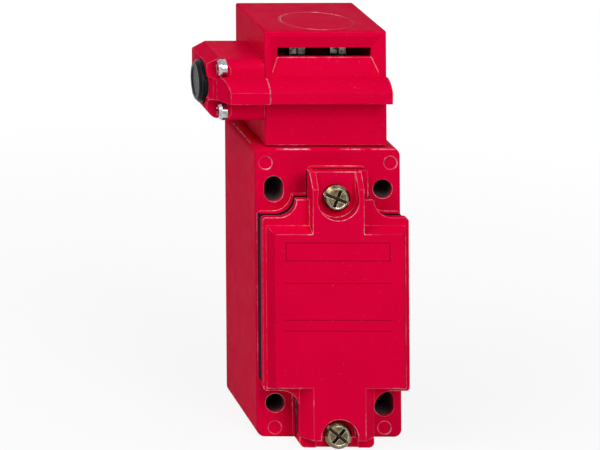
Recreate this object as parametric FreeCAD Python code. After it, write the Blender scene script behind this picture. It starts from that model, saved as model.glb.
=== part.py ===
import FreeCAD, Part
import math
import os

# Tongue interlock switch with a turret head and a side release button, in millimetres.
# X runs to the right seen from the front, Y runs back to the mounting face, Z runs up.
# The origin is on the cable entry's axis, in the plane of the body's foot.

# Body casting
body_width = 40.0
body_depth = 34.0
body_height = 81.0
body_wall_side = 4.0
body_wall_back = 3.0
body_corner_radius = 2.2
body_edge_radius = 0.9
entry_axis_to_back = 17.0
chamber_bottom = 18.5
chamber_top = 61.5
chamber_corner_radius = 2.5
entry_radius = 9.25
entry_thread_length = 12.5
entry_pocket_half_width = 10.8
entry_pocket_depth = 25.5
fixing_spacing_x = 30.0
fixing_spacing_z = 60.0
fixing_bottom_z = 9.7
fixing_hole_radius = 2.65
fixing_slot_length = 7.2
mark_radius = 1.85
mark_depth = 0.2
top_mark_x = 17.2
top_mark_drop = 4.0
foot_mark_x = 15.1
foot_mark_z = 2.8

# Cover, its flat gasket and the raised land of the body under them, with pads under the two tabs
cover_standoff = 5.1
gasket_thickness = 1.8
gasket_tab_inset = 0.15
foot_root_rise = 2.0
gasket_inset = 0.4
gasket_land = 3.4
rim_rise = 7.1
plateau_rise = 10.2
cover_bottom = 15.8
cover_top = 63.9
cover_shoulder = 68.9
cover_tab_top = 76.7
cover_tab_slope_z = 72.6
cover_tab_bottom = 3.0
cover_arc_radius = 5.0
cover_corner_radius = 1.0
top_tab_half_width = 7.1
top_pad_left_x = -5.65
top_pad_right_x = 10.05
top_pad_top = 76.1
top_strip_half_width = 7.0
shoulder_half_width = 10.6
foot_tab_half_width = 10.2
foot_tongue_half_width = 5.8
foot_tongue_end = 0.2
foot_ridge_half_width = 7.1
plateau_half_width = 17.5
plateau_bottom = 17.6
plateau_top = 60.2
plateau_slope = 1.5
cover_shell_wall = 2.0
top_screw_z = 69.7
foot_screw_z = 3.9
top_screw_turn = 22.0
foot_screw_turn = 40.0
top_recess_radius = 5.7
recess_mouth_half_width = 5.4
foot_recess_radius = 5.0
recess_floor_rise = 7.3
foot_corner_radius = 1.5
fit_clearance = 0.05

# Screws
cover_screw_head_radius = 3.7
cover_screw_head_height = 2.0
cover_screw_radius = 2.0
cover_screw_length = 12.0
cover_screw_slot = 0.95
cover_screw_slot_depth = 1.2
cover_screw_arm_length = 2.5
cover_screw_rim = 0.7
cover_screw_dish = 0.2
small_screw_head_radius = 2.5
small_screw_head_height = 2.2
small_screw_radius = 1.25
small_screw_length = 15.5
head_screw_radius = 1.5
head_screw_head_radius = 2.7
head_screw_head_height = 2.6
head_screw_pitch_half = 9.5
head_screw_grip = 7.0
head_boss_radius = 3.4
terminal_screw_radius = 1.75
terminal_screw_head_radius = 3.0
terminal_screw_head_height = 2.0
terminal_screw_length = 6.0
block_screw_radius = 1.5
block_screw_head_radius = 2.3
block_screw_head_height = 1.8
block_screw_length = 7.0

# Turret head
head_half_width = 16.8
head_front_y = -15.5
head_back_y = 16.9
head_height = 32.5
head_wall = 2.8
head_edge_radius = 0.6
head_gasket_thickness = 0.5
spigot_radius = 13.0
spigot_depth = 2.0
spigot_clearance = 0.1
head_floor = 2.0
spring_room_radius = 5.6
nose_front_y = -21.2
nose_bottom_rise = 13.4
nose_top_rise = 16.6
nose_root_rise = 19.6
nose_under_rise = 12.9
nose_bulge = 0.78
slot_half_width = 13.0
slot_bottom_drop = 7.7
slot_height = 2.7
funnel_half_width = 15.1
funnel_ramp_height = 5.0
funnel_top_drop = 1.5
funnel_depth = 1.4
top_ring_radius = 10.15
top_ring_width = 0.45
top_ring_depth = 0.3
top_ring_x = 0.5
top_ring_y = -4.3

# Cam mechanism in the head
cam_axis_y = -4.5
cam_axis_share = 0.48
shaft_radius = 2.5
bush_wall = 1.2
bush_flange = 1.0
bush_boss_wall = 1.6
bush_reach = 3.0
shaft_end_gap = 0.4
running_clearance = 0.04
cam_roof_gap = 2.7
cam_catch_radius = 1.9
cam_catch_drop = 4.6
spacer_wall = 1.2
cam_hub_radius = 6.0
cam_nose_width = 5.4
cam_tip_radius = 1.1
outer_cheek_inner_x = 5.9
inner_cheek_inner_x = 3.5
cheek_thickness = 2.0
lobe_arm = 5.4
lobe_lift_angle = 22.5
lobe_radius = 2.4
lobe_half_width = 2.4
lobe_hub_radius = 3.3
lobe_web_half = 1.6
cam_turn_angle = 45.0

# Plunger and contact block
plunger_radius = 2.0
plunger_pin_radius = 1.5
plunger_collar_radius = 4.4
plunger_collar_thickness = 1.4
plunger_collar_rise = 7.4
lobe_gap = 0.3
guide_outer_radius = 3.8
guide_flange_radius = 5.2
guide_flange_thickness = 1.0
spring_wire_radius = 0.3
wire_sides = 6
return_spring_radius = 3.4
return_spring_turns = 4.5
block_half_width = 14.4
block_bottom = 21.0
block_top = 59.5
block_front_y = -3.0
block_channel_half_width = 5.6
block_channel_rise = 6.0
block_earth_room_x = -8.6
block_earth_room_z = 25.4
block_channel_depth = 10.5
block_shelf_drop = 4.0
block_shelf_inner_x = 7.4
block_lid_thickness = 1.6
block_standoff = 3.0
block_web = 2.4
block_screw_inset = 3.2
pole_room_half = 4.4
register_gap = 0.4
pole_z = [32.6, 42.2, 51.8]
pole_is_break = [True, True, False]
carrier_half_width = 3.6
carrier_depth = 5.0
carrier_foot_drop = 1.0
carrier_head_rise = 6.5
contact_gap = 0.4
bridge_half_length = 8.6
bridge_width = 3.2
bridge_thickness = 0.8
break_bridge_rise = 2.6
make_bridge_rise = 0.4
button_contact_radius = 1.2
button_contact_height = 0.7
strip_width = 4.6
strip_thickness = 0.9
strip_tip_x = 6.1
terminal_x = 11.4
clamp_size = 5.2
clamp_thickness = 1.1
earth_x = -12.2
earth_z = 21.4
earth_boss_radius = 2.3
earth_boss_height = 9.0
earth_clamp_half = 2.6
earth_clamp_radius = 3.1
earth_clamp_thickness = 1.0

# Release button and its housing
housing_reach = 14.9
housing_front_y = -15.5
housing_back_y = 7.0
housing_drop = 8.6
housing_rise = 8.4
housing_seam = 0.1
housing_gasket_thickness = 0.4
housing_gasket_inset = 1.0
housing_front_chamfer_x = 5.5
housing_front_chamfer_y = 3.5
housing_top_chamfer_x = 3.7
housing_top_chamfer_z = 2.0
housing_top_front_radius = 2.6
housing_low_radius = 2.6
housing_cheek_front_x = 4.05
housing_cheek_back_y = -9.2
housing_screw_y = -13.3
housing_screw_rise = 5.9
housing_screw_drop = 6.1
housing_screw_inset = 4.5
housing_scallop_radius = 3.0
button_radius = 5.9
button_protrusion = 1.9
button_travel = 2.4
button_cap_length = 4.7
button_cap_skin = 2.2
button_skirt_wall = 1.2
button_face_chamfer = 0.8
button_bore_clearance = 0.2
button_stop_gap = 0.3
button_stem_radius = 2.0
button_web_thickness = 2.0
button_stem_reach = 1.7
button_collar_radius = 3.4
button_collar_thickness = 0.8
button_spring_radius = 3.9
button_spring_turns = 3.5
lock_pocket_front_y = -11.5
lock_pocket_back_y = 5.0
lock_pocket_half_height = 6.4
lock_disc_radius = 5.6
lock_disc_thickness = 1.7
lock_notch_width = 2.4
lock_notch_depth = 1.4

# Worked-out places
body_back = entry_axis_to_back
body_front = body_back - body_depth
body_half = body_width / 2
head_base = body_height + head_gasket_thickness
head_top = body_height + head_height
cover_underside_y = body_front - cover_standoff
pad_y = cover_underside_y + gasket_thickness
rim_y = body_front - rim_rise
plateau_y = body_front - plateau_rise
recess_floor_y = body_front - recess_floor_rise
fixing_x = fixing_spacing_x / 2
fixing_top_z = fixing_bottom_z + fixing_spacing_z
chamber_half = body_half - body_wall_side
chamber_back = body_back - body_wall_back
head_inner_half = head_half_width - head_wall
head_inner_front = head_front_y + head_wall
head_inner_back = head_back_y - head_wall
head_inner_top = head_top - head_wall
turret_y = (head_front_y + head_back_y) / 2
cam_axis_z = body_height + head_height * cam_axis_share
cam_nose_radius = head_inner_top - cam_axis_z - cam_roof_gap
slot_bottom_z = head_top - slot_bottom_drop
plunger_collar_z = body_height + plunger_collar_rise
guide_top = body_height - spigot_depth - register_gap
block_back = chamber_back - block_standoff
block_screw_seat = block_back - block_web
housing_left_x = -head_half_width - housing_reach
housing_right_x = -head_half_width - housing_seam
housing_bottom_z = cam_axis_z - housing_drop
housing_top_z = cam_axis_z + housing_rise
housing_screw_z = [cam_axis_z + housing_screw_rise, cam_axis_z - housing_screw_drop]
housing_screw_seat_x = housing_left_x + housing_screw_inset
lock_pocket_bottom_z = cam_axis_z - lock_pocket_half_height
lock_pocket_top_z = cam_axis_z + lock_pocket_half_height
button_face_x = housing_left_x - button_protrusion
button_cap_inner_x = button_face_x + button_cap_length
button_web_x = button_cap_inner_x + button_travel + button_stop_gap
lock_pocket_x = button_web_x + button_web_thickness
stem_end_x = lock_pocket_x + button_stem_reach
shaft_left_x = stem_end_x + button_travel + shaft_end_gap
shaft_right_x = head_half_width - 1.0 - shaft_end_gap
lobe_start = math.radians(lobe_lift_angle)
lobe_drop = lobe_arm * (math.sin(lobe_start) + math.sin(math.radians(cam_turn_angle) - lobe_start))
plunger_travel = lobe_drop
carrier_y = turret_y
carrier_top = pole_z[-1] + carrier_head_rise
plunger_top = cam_axis_z + lobe_arm * math.sin(lobe_start) - lobe_radius - lobe_gap


def vec(x, y, z):
    return FreeCAD.Vector(x, y, z)


AXES = {"x": vec(1, 0, 0), "y": vec(0, 1, 0), "z": vec(0, 0, 1)}


def box(x0, x1, y0, y1, z0, z1):
    return Part.makeBox(x1 - x0, y1 - y0, z1 - z0, vec(x0, y0, z0))


def rod(axis, radius, start, end, u, v):
    """A cylinder along one axis; u and v are its centre on the other two axes, in X, Y, Z order."""
    base = {"x": vec(start, u, v), "y": vec(u, start, v), "z": vec(u, v, start)}[axis]
    return Part.makeCylinder(radius, end - start, base, AXES[axis])


def cone(axis, radius_start, radius_end, start, end, u, v):
    base = {"x": vec(start, u, v), "y": vec(u, start, v), "z": vec(u, v, start)}[axis]
    return Part.makeCone(radius_start, radius_end, end - start, base, AXES[axis])


def tube(axis, outer, inner, start, end, u, v):
    return rod(axis, outer, start, end, u, v).cut(rod(axis, inner, start - 1, end + 1, u, v))


def point(plane_axis, level, a, b):
    return {"x": vec(level, a, b), "y": vec(a, level, b), "z": vec(a, b, level)}[plane_axis]


def outline(plane_axis, level, corners):
    """A closed wire across one axis. A corner is (a, b), or (a, b, radius) for a rounded corner."""
    count = len(corners)
    starts = []
    ends = []
    arcs = []
    for i, corner in enumerate(corners):
        here = point(plane_axis, level, corner[0], corner[1])
        radius = corner[2] if len(corner) > 2 else 0.0
        if radius <= 0:
            starts.append(here)
            ends.append(here)
            arcs.append(None)
            continue
        before = corners[i - 1]
        after = corners[(i + 1) % count]
        to_before = (point(plane_axis, level, before[0], before[1]) - here).normalize()
        to_after = (point(plane_axis, level, after[0], after[1]) - here).normalize()
        half_turn = to_before.getAngle(to_after) / 2
        reach = radius / math.tan(half_turn)
        start = here + to_before * reach
        end = here + to_after * reach
        bisector = (to_before + to_after).normalize()
        middle = here + bisector * (radius / math.sin(half_turn) - radius)
        starts.append(start)
        ends.append(end)
        arcs.append(Part.Arc(start, middle, end).toShape())
    edges = []
    for i in range(count):
        if arcs[i]:
            edges.append(arcs[i])
        following = (i + 1) % count
        if (starts[following] - ends[i]).Length > 1e-6:
            edges.append(Part.makeLine(ends[i], starts[following]))
    return Part.Wire(edges)


def prism(plane_axis, start, end, corners):
    face = Part.Face(outline(plane_axis, start, corners))
    return face.extrude(AXES[plane_axis] * (end - start))


def block(corner_radius, axis, start, end, a0, a1, b0, b1):
    """A block along one axis with its four long edges rounded."""
    corners = [(a, b, corner_radius) for a, b in ((a0, b0), (a1, b0), (a1, b1), (a0, b1))]
    return prism(axis, start, end, corners)


def frustum(axis, start, end, first, second):
    """A solid between two rectangles (a0, a1, b0, b1) at the two levels."""
    wires = []
    for level, (a0, a1, b0, b1) in ((start, first), (end, second)):
        wires.append(outline(axis, level, [(a0, b0), (a1, b0), (a1, b1), (a0, b1)]))
    return Part.makeLoft(wires, True, True)


def join(shapes):
    result = shapes[0]
    if len(shapes) > 1:
        result = result.fuse(shapes[1:])
    return result.removeSplitter()


def rounded(shape, radius, chosen):
    edges = [edge for edge in shape.Edges if chosen(edge)]
    return shape.makeFillet(radius, edges)


def near(value, target):
    return abs(value - target) < 0.01


def edge_on(axis_letter, level):
    """Chooses edges that lie wholly in the plane where one coordinate has the given level."""
    def chosen(edge):
        low, high = {
            "x": (edge.BoundBox.XMin, edge.BoundBox.XMax),
            "y": (edge.BoundBox.YMin, edge.BoundBox.YMax),
            "z": (edge.BoundBox.ZMin, edge.BoundBox.ZMax),
        }[axis_letter]
        return near(low, level) and near(high, level)
    return chosen


def slot_along_z(radius, length, start, end, x, z):
    """An upright oblong hole through the depth."""
    reach = length / 2 - radius
    hole = rod("y", radius, start, end, x, z - reach)
    if reach > 0:
        hole = join([
            hole,
            rod("y", radius, start, end, x, z + reach),
            box(x - radius, x + radius, start, end, z - reach, z + reach),
        ])
    return hole


def helix(radius, wire_radius, start, end, turns, axis, u, v):
    """A coil along one axis with a six-sided wire, closed in by its half width at both ends."""
    length = end - start - 2 * wire_radius
    path = Part.makeHelix(length / turns, length, radius)
    corners = []
    for step in range(wire_sides + 1):
        angle = 2 * math.pi * step / wire_sides
        corners.append(vec(radius + wire_radius * math.cos(angle), 0, wire_radius * math.sin(angle)))
    coil = Part.Wire(path).makePipeShell([Part.makePolygon(corners)], True, True)
    turn = {"z": FreeCAD.Rotation(), "x": FreeCAD.Rotation(AXES["y"], 90)}[axis]
    base = {"z": vec(u, v, start + wire_radius), "x": vec(start + wire_radius, u, v)}[axis]
    coil.Placement = FreeCAD.Placement(base, turn)
    return coil


def pan_screw(axis, seat, head_up, head_radius, head_height, shank_radius, shank_length, u, v):
    """A pan-head screw; head_up is +1 or -1, the way its head stands from the seat."""
    head_end = seat + head_up * head_height
    shank_end = seat - head_up * shank_length
    crown = head_height * 0.35
    shoulder = head_end - head_up * crown
    pieces = [
        rod(axis, head_radius, min(seat, shoulder), max(seat, shoulder), u, v),
        rod(axis, shank_radius, min(seat, shank_end), max(seat, shank_end), u, v),
    ]
    if head_up > 0:
        pieces.append(cone(axis, head_radius, head_radius * 0.78, shoulder, head_end, u, v))
    else:
        pieces.append(cone(axis, head_radius * 0.78, head_radius, head_end, shoulder, u, v))
    return join(pieces)


def cross_cut(axis, top, into, length, width, u, v, angle):
    """Two crossed slots that sink from a screw's top face by the signed depth."""
    low = min(top, top + into)
    high = max(top, top + into)
    grow = -0.2 if into > 0 else 0.2
    low = min(low, low + grow)
    high = max(high, high + grow)
    cuts = []
    for turn in (angle, angle + 90):
        if axis == "y":
            bar = box(-length, length, low, high, -width / 2, width / 2)
            bar.rotate(vec(0, 0, 0), AXES["y"], turn)
            bar.translate(vec(u, 0, v))
        else:
            bar = box(low, high, -length, length, -width / 2, width / 2)
            bar.rotate(vec(0, 0, 0), AXES["x"], turn)
            bar.translate(vec(0, u, v))
        cuts.append(bar)
    return join(cuts)


def cover_outline(inset):
    """The cover's main plate and shoulders, seen from the front, as corners for an outline."""
    right = body_half - inset
    shoulder = shoulder_half_width - inset
    low = cover_bottom + inset
    high = cover_top - inset
    top = cover_shoulder - inset
    arc = cover_arc_radius + inset
    side = [
        (right, low, cover_corner_radius),
        (right, high, cover_corner_radius),
        (shoulder, high, arc - 0.1),
        (shoulder, top, 0.4),
    ]
    mirrored = [(-c[0],) + tuple(c[1:]) for c in reversed(side)]
    return side + mirrored


def foot_tab_outline(inset, end, rise):
    """The cover's lower tab with its flared root, seen from the front."""
    half = foot_tab_half_width - inset
    root = cover_bottom + inset
    arc = cover_arc_radius + inset - 0.1
    flare = half + cover_arc_radius
    return [
        (-flare, cover_bottom + rise), (-flare, root), (-half, root, arc), (-half, end),
        (half, end), (half, root, arc), (flare, root), (flare, cover_bottom + rise),
    ]


def body_casting():
    body = box(-body_half, body_half, body_front, body_back, 0, body_height)

    def long_corner(edge):
        ends = edge.BoundBox
        return ends.YLength > body_depth - 1 and near(abs(ends.XMin), body_half)
    body = rounded(body, body_corner_radius, long_corner)
    body = rounded(body, body_edge_radius, edge_on("y", body_front))
    top_pad = block(
        1.2, "y", pad_y, body_front + 1, top_pad_left_x, top_pad_right_x,
        cover_shoulder - 2.5, top_pad_top)
    foot_pad = join([
        prism("y", pad_y, body_front + 1, [
            (-foot_tab_half_width, 0, foot_corner_radius), (foot_tab_half_width, 0, foot_corner_radius),
            (foot_tab_half_width, cover_bottom), (-foot_tab_half_width, cover_bottom)]),
        prism("y", pad_y, body_front + 1, foot_tab_outline(0, cover_tab_bottom, foot_root_rise)),
    ])
    feet = prism("y", rim_y, pad_y + 0.5, [
        (-foot_tab_half_width, 0, foot_corner_radius), (foot_tab_half_width, 0, foot_corner_radius),
        (foot_tab_half_width, cover_tab_bottom - fit_clearance, 0.5),
        (-foot_tab_half_width, cover_tab_bottom - fit_clearance, 0.5)])
    between_feet = box(
        -foot_tongue_half_width - fit_clearance, foot_tongue_half_width + fit_clearance,
        rim_y - 1, pad_y, -1, cover_tab_bottom + 1)
    land = prism("y", pad_y, body_front + 1, cover_outline(gasket_inset))
    body = join([body, land, top_pad, foot_pad, feet.cut(between_feet)])

    chamber = block(
        chamber_corner_radius, "y", pad_y - 1, chamber_back,
        -chamber_half, chamber_half, chamber_bottom, chamber_top)
    entry_pocket = block(
        1.5, "z", entry_thread_length, chamber_bottom + 3, -entry_pocket_half_width, entry_pocket_half_width,
        chamber_back - entry_pocket_depth, chamber_back)
    cable_entry = rod("z", entry_radius, -1, entry_thread_length + 1, 0, 0)
    register = rod("z", spigot_radius, guide_top, body_height + 1, 0, turret_y)
    guide_seat = rod("z", guide_outer_radius, chamber_top - 1, body_height, 0, turret_y)
    cuts = [chamber, entry_pocket, cable_entry, register, guide_seat]
    for x, z, length in (
        (-fixing_x, fixing_top_z, fixing_slot_length),
        (fixing_x, fixing_bottom_z, fixing_slot_length),
        (fixing_x, fixing_top_z, 2 * fixing_hole_radius),
        (-fixing_x, fixing_bottom_z, 2 * fixing_hole_radius),
    ):
        cuts.append(slot_along_z(fixing_hole_radius, length, body_front - 1, body_back + 1, x, z))
    for x, z in (
        (-top_mark_x, body_height - top_mark_drop), (top_mark_x, body_height - top_mark_drop),
        (-foot_mark_x, foot_mark_z), (foot_mark_x, foot_mark_z),
    ):
        cuts.append(rod("y", mark_radius, body_front - 1, body_front + mark_depth, x, z))
    for z in (top_screw_z, foot_screw_z):
        depth_end = recess_floor_y + cover_screw_length + 0.5
        cuts.append(rod("y", cover_screw_radius + fit_clearance, rim_y - 5, depth_end, 0, z))
    for x, y in head_screw_places():
        cuts.append(rod("z", head_screw_radius + 0.15, chamber_top - 1, body_height + 1, x, y))
        cuts.append(rod(
            "z", head_screw_head_radius + 0.2, chamber_top - 1,
            chamber_top + head_screw_head_height + 0.6, x, y))
    body = body.cut(cuts)
    earth_seat = chamber_back - earth_boss_height
    earth_boss = rod("y", earth_boss_radius, earth_seat, chamber_back + 1, earth_x, earth_z)
    bosses = [body, earth_boss]
    for z in block_screw_places():
        bosses.append(rod("y", block_standoff, block_back, chamber_back + 1, 0, z))
    body = join(bosses)
    holes = [rod(
        "y", terminal_screw_radius + fit_clearance, earth_seat - 1, chamber_back - 2.5, earth_x, earth_z)]
    for z in block_screw_places():
        holes.append(rod("y", block_screw_radius + fit_clearance, block_back - 1, body_back - 0.8, 0, z))
    return body.cut(holes)


def block_screw_places():
    return [block_bottom + block_screw_inset, block_top - block_screw_inset]


def cover_gasket():
    ring = prism("y", cover_underside_y, pad_y, cover_outline(gasket_inset))
    window = block(
        chamber_corner_radius, "y", cover_underside_y - 1, pad_y + 1,
        -body_half + gasket_land + gasket_inset, body_half - gasket_land - gasket_inset,
        cover_bottom + gasket_land, cover_top - gasket_land)
    top_seam_half = top_tab_half_width - gasket_tab_inset
    top_seam = box(
        -top_seam_half, top_seam_half, cover_underside_y, pad_y,
        cover_shoulder - 4.0, top_pad_top - gasket_tab_inset)
    foot_seam = prism(
        "y", cover_underside_y, pad_y,
        foot_tab_outline(gasket_tab_inset, cover_tab_bottom + gasket_tab_inset, foot_root_rise + 0.4))
    gasket = join([ring, top_seam, foot_seam])
    hole_radius = cover_screw_radius + 0.3
    holes = [window]
    for z in (top_screw_z, foot_screw_z):
        holes.append(rod("y", hole_radius, cover_underside_y - 1, pad_y + 1, 0, z))
    holes.append(box(-hole_radius, hole_radius, cover_underside_y - 1, pad_y + 1, 0, foot_screw_z))
    return gasket.cut(holes)


def front_cover():
    rim = prism("y", rim_y, cover_underside_y, cover_outline(0))
    foot_tab = prism("y", rim_y, cover_underside_y, foot_tab_outline(0, cover_tab_bottom, foot_root_rise))
    foot_tongue = box(
        -foot_tongue_half_width, foot_tongue_half_width, rim_y, cover_underside_y,
        foot_tongue_end, cover_tab_bottom + 2)
    top_tab = join([
        box(-top_tab_half_width, top_tab_half_width, rim_y, cover_underside_y,
            plateau_top - 6, cover_tab_top),
        frustum(
            "y", rim_y, plateau_y,
            (-top_tab_half_width, top_tab_half_width, plateau_top - 6, cover_tab_top),
            (-top_strip_half_width, top_strip_half_width, plateau_top - 6, cover_tab_top)),
    ])
    beyond_slope = prism("x", -body_half, body_half, [
        (recess_floor_y, cover_tab_top), (plateau_y, cover_tab_slope_z),
        (plateau_y - 2, cover_tab_slope_z), (plateau_y - 2, cover_tab_top + 2),
        (recess_floor_y, cover_tab_top + 2)])
    top_tab = top_tab.cut(beyond_slope)
    plateau = frustum(
        "y", rim_y, plateau_y,
        (-plateau_half_width - plateau_slope, plateau_half_width + plateau_slope,
         plateau_bottom - plateau_slope * 0.8, plateau_top + plateau_slope),
        (-plateau_half_width, plateau_half_width, plateau_bottom, plateau_top))
    foot_ridge = frustum(
        "y", rim_y, plateau_y,
        (-foot_tab_half_width, foot_tab_half_width, cover_tab_bottom, plateau_bottom + 4),
        (-foot_ridge_half_width, foot_ridge_half_width, cover_tab_bottom, plateau_bottom + 4))
    cover = join([rim, foot_tab, foot_tongue, top_tab, plateau, foot_ridge])

    top_recess = join([
        rod("y", top_recess_radius, plateau_y - 1, recess_floor_y, 0, top_screw_z),
        box(-recess_mouth_half_width, recess_mouth_half_width, plateau_y - 1, recess_floor_y,
            top_screw_z + 1, cover_tab_top + 1),
    ])
    foot_recess = join([
        rod("y", foot_recess_radius, plateau_y - 1, recess_floor_y, 0, foot_screw_z),
        box(-foot_recess_radius, foot_recess_radius, plateau_y - 1, recess_floor_y, -1, foot_screw_z),
    ])
    hollow = block(
        chamber_corner_radius, "y", plateau_y + cover_shell_wall, cover_underside_y + 1,
        -body_half + gasket_land + gasket_inset, body_half - gasket_land - gasket_inset,
        cover_bottom + gasket_land, plateau_top - cover_shell_wall)
    cuts = [top_recess, foot_recess, hollow]
    for z in (top_screw_z, foot_screw_z):
        cuts.append(rod("y", cover_screw_radius + 0.2, plateau_y - 1, cover_underside_y + 1, 0, z))
    return cover.cut(cuts)


def cover_screws():
    """Combination heads: one slot right across, a shorter arm across it, and a rim round the face."""
    screws = []
    for z, turn in ((top_screw_z, top_screw_turn), (foot_screw_z, foot_screw_turn)):
        screw = pan_screw(
            "y", recess_floor_y, -1, cover_screw_head_radius, cover_screw_head_height,
            cover_screw_radius, cover_screw_length, 0, z)
        top = recess_floor_y - cover_screw_head_height
        slot = box(
            -cover_screw_head_radius - 1, cover_screw_head_radius + 1, top - 1, top + cover_screw_slot_depth,
            -cover_screw_slot / 2, cover_screw_slot / 2)
        arm = box(
            -cover_screw_slot / 2, cover_screw_slot / 2, top - 1, top + cover_screw_slot_depth,
            -cover_screw_arm_length, cover_screw_arm_length)
        cross = join([slot, arm])
        cross.rotate(vec(0, 0, 0), AXES["y"], turn)
        cross.translate(vec(0, 0, z))
        dish_radius = cover_screw_head_radius * 0.78 - cover_screw_rim / 2
        dish = rod("y", dish_radius, top - 1, top + cover_screw_dish, 0, z)
        screws.append(screw.cut([cross, dish]))
    return Part.makeCompound(screws)


def head_gasket():
    inset = 0.5
    sheet = block(
        1.0, "z", body_height, head_base, -head_half_width + inset, head_half_width - inset,
        head_front_y + inset, head_back_y - inset)
    holes = [rod("z", spigot_radius + 0.2, body_height - 1, head_base + 1, 0, turret_y)]
    for x, y in head_screw_places():
        holes.append(rod("z", head_screw_radius + 0.25, body_height - 1, head_base + 1, x, y))
    return sheet.cut(holes)


def head_screw_places():
    places = []
    for x in (-head_screw_pitch_half, head_screw_pitch_half):
        for y in (-head_screw_pitch_half, head_screw_pitch_half):
            places.append((x, turret_y + y))
    return places


def nose_profile(start_x, end_x, behind):
    """The turret's nose drawn along X. The corners (y, z) behind it run from its underside to its top."""
    corners = [
        (head_front_y, body_height + nose_root_rise),
        (nose_front_y, body_height + nose_top_rise),
        (nose_front_y, body_height + nose_bottom_rise),
        (head_front_y, body_height + nose_under_rise),
    ] + behind
    bulge = vec(
        start_x, (head_front_y + nose_front_y) / 2 - nose_bulge,
        body_height + (nose_root_rise + nose_top_rise) / 2 + nose_bulge)
    edges = []
    for i, (y, z) in enumerate(corners):
        after = corners[(i + 1) % len(corners)]
        start = vec(start_x, y, z)
        end = vec(start_x, after[0], after[1])
        if i == 0:
            edges.append(Part.Arc(start, bulge, end).toShape())
        else:
            edges.append(Part.makeLine(start, end))
    return Part.Face(Part.Wire(edges)).extrude(vec(end_x - start_x, 0, 0))


def head_casting():
    outer = nose_profile(-head_half_width, head_half_width, [
        (head_front_y, head_base), (head_back_y, head_base),
        (head_back_y, head_top), (head_front_y, head_top)])

    def soft_edge(edge):
        bound = edge.BoundBox
        upright = bound.ZLength > 5 and bound.YLength < 0.1
        along_front = near(bound.YMin, nose_front_y) and bound.XLength > head_half_width
        return upright or near(bound.ZMin, head_top) or along_front
    outer = rounded(outer, head_edge_radius, soft_edge)

    cavity = block(
        1.5, "z", head_base - 1, head_inner_top, -head_inner_half, head_inner_half,
        head_inner_front, head_inner_back)
    funnel = frustum(
        "y", head_front_y - 0.02, head_front_y + funnel_depth,
        (-funnel_half_width, funnel_half_width,
         slot_bottom_z - funnel_ramp_height, head_top - funnel_top_drop),
        (-slot_half_width, slot_half_width, slot_bottom_z, slot_bottom_z + slot_height))
    slot = box(
        -slot_half_width, slot_half_width, head_front_y, head_inner_front + 1,
        slot_bottom_z, slot_bottom_z + slot_height)
    ring = tube(
        "z", top_ring_radius, top_ring_radius - top_ring_width, head_top - top_ring_depth, head_top + 1,
        top_ring_x, top_ring_y)
    head = outer.cut([cavity, funnel, slot, ring])
    floor = block(
        1.0, "z", head_base, head_base + head_floor, -head_inner_half - 1, head_inner_half + 1,
        head_inner_front - 1, head_inner_back + 1)
    spigot_end = body_height - spigot_depth
    spigot = rod("z", spigot_radius - spigot_clearance, spigot_end, head_base + 1, 0, turret_y)
    additions = [head, floor, spigot]
    for x, y in head_screw_places():
        additions.append(rod("z", head_boss_radius, head_base, head_base + head_screw_grip, x, y))
    boss_radius = shaft_radius + bush_wall + bush_boss_wall
    for start in (-head_inner_half - 0.5, head_inner_half - 2.0):
        additions.append(rod("x", boss_radius, start, start + 2.5, cam_axis_y, cam_axis_z))
    head = join(additions)
    spring_room = rod("z", spring_room_radius, spigot_end - 1, head_base + head_floor + 1, 0, turret_y)
    bush_radius = shaft_radius + running_clearance + bush_wall
    cuts = [
        spring_room,
        rod("x", bush_radius, head_inner_half - 3.0, head_half_width - 1.0, cam_axis_y, cam_axis_z),
        rod("x", bush_radius, -head_half_width - 1, -head_inner_half + 3.0, cam_axis_y, cam_axis_z),
    ]
    for x, y in head_screw_places():
        cuts.append(rod("z", head_screw_radius + fit_clearance, 0, head_base + head_screw_grip - 1.0, x, y))
    for z in housing_screw_z:
        cuts.append(rod(
            "x", small_screw_radius + fit_clearance, -head_half_width - 1,
            housing_screw_seat_x + small_screw_length + 0.5, housing_screw_y, z))
    return head.cut(cuts)


def head_screws():
    screws = []
    seat = chamber_top + head_screw_head_height + 0.6
    for x, y in head_screw_places():
        head = rod("z", head_screw_head_radius, seat - head_screw_head_height, seat, x, y)
        socket = prism("z", seat - head_screw_head_height - 0.2, seat - head_screw_head_height + 1.3, [
            (x + 1.35 * math.cos(math.radians(60 * i)), y + 1.35 * math.sin(math.radians(60 * i)))
            for i in range(6)])
        shank = rod("z", head_screw_radius, seat, head_base + head_screw_grip - 1.5, x, y)
        screws.append(join([head, shank]).cut(socket))
    return Part.makeCompound(screws)


def shaft_bushes():
    inner = shaft_radius + running_clearance
    outer = inner + bush_wall - 0.02
    face = head_inner_half - bush_reach
    right = tube("x", outer, inner, face, head_half_width - 1.0, cam_axis_y, cam_axis_z)
    left = tube("x", outer, inner, -head_half_width, -face, cam_axis_y, cam_axis_z)
    flange_radius = outer + 0.8
    right_flange = tube("x", flange_radius, inner, face, face + bush_flange, cam_axis_y, cam_axis_z)
    left_flange = tube("x", flange_radius, inner, -face - bush_flange, -face, cam_axis_y, cam_axis_z)
    return Part.makeCompound([join([right, right_flange]), join([left, left_flange])])


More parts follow.
